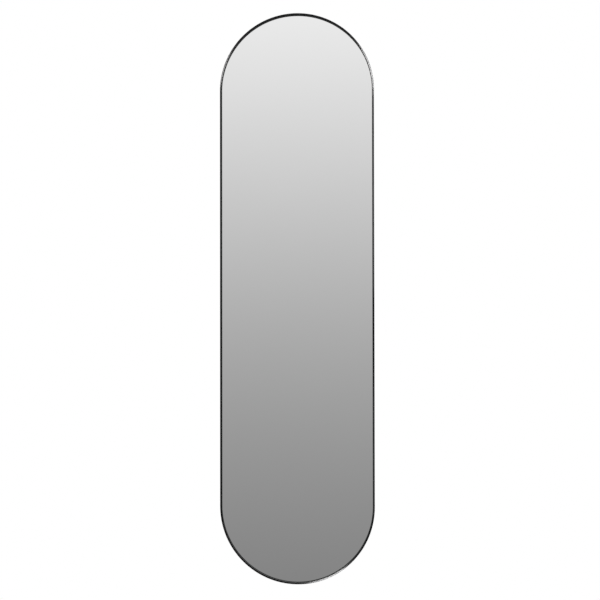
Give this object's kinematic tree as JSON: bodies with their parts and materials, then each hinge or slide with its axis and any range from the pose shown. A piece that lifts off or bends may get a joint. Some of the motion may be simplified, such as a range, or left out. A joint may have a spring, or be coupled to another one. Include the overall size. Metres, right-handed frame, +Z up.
{
  "type": "full length mirror",
  "caption": "Tall pill-shaped wall mirror: glass set back in a thin rolled black metal hoop, bonded to a screwed backing board and hung from swinging D-rings.",
  "frame": {"origin": "middle of the rear rim's plane, which lies on the wall", "axes": "+X to the viewer's right, -Y out of the glass towards the viewer, +Y into the wall, +Z up"},
  "size_m": [0.46, 0.0308, 1.6996],
  "materials": {
    "black_coat": "satin black powder coat on rolled steel bar, fine even texture",
    "silvered_glass": "silvered float glass with ground edges, clear and undistorted",
    "black_foam": "matte black foam strip",
    "grey_film": "grey woven-backed safety film",
    "white_foam": "white closed-cell foam tape",
    "raw_board": "raw medium-density fibreboard, fine fibres",
    "zinc_steel": "bright zinc-plated steel",
    "black_rubber": "moulded matte black rubber"
  },
  "bodies": {
    "mirror": {"frame_hoop": "black_coat", "mirror_glass": "silvered_glass", "edge_strip": "black_foam", "safety_film": "grey_film", "foam_tape_left": "white_foam", "foam_tape_centre": "white_foam", "foam_tape_right": "white_foam", "backing_board": "raw_board", "board_tab_right_upper": "black_coat", "board_tab_right_middle": "black_coat", "board_tab_right_lower": "black_coat", "board_tab_left_upper": "black_coat", "board_tab_left_middle": "black_coat", "board_tab_left_lower": "black_coat", "board_tab_top_right": "black_coat", "board_tab_top_left": "black_coat", "board_tab_bottom_right": "black_coat", "board_tab_bottom_left": "black_coat", "hanger_strap_left": "zinc_steel", "hanger_strap_right": "zinc_steel", "tab_screws": "zinc_steel", "hanger_screws": "zinc_steel", "bumper_screws": "zinc_steel", "wall_bumper_top_left": "black_rubber", "wall_bumper_top_right": "black_rubber", "wall_bumper_bottom_left": "black_rubber", "wall_bumper_bottom_right": "black_rubber"},
    "ring_left": {"hanger_ring_left": "zinc_steel"},
    "ring_right": {"hanger_ring_right": "zinc_steel"}
  },
  "joints": [
    {"name": "ring_left_swing", "type": "hinge", "parent": "mirror", "child": "ring_left", "pos_m": [-0.14, -0.00475, 0.52], "axis": [1, 0, 0], "range_deg": [0, 180]},
    {"name": "ring_right_swing", "type": "hinge", "parent": "mirror", "child": "ring_right", "pos_m": [0.14, -0.00475, 0.52], "axis": [1, 0, 0], "range_deg": [0, 180]}
  ]
}
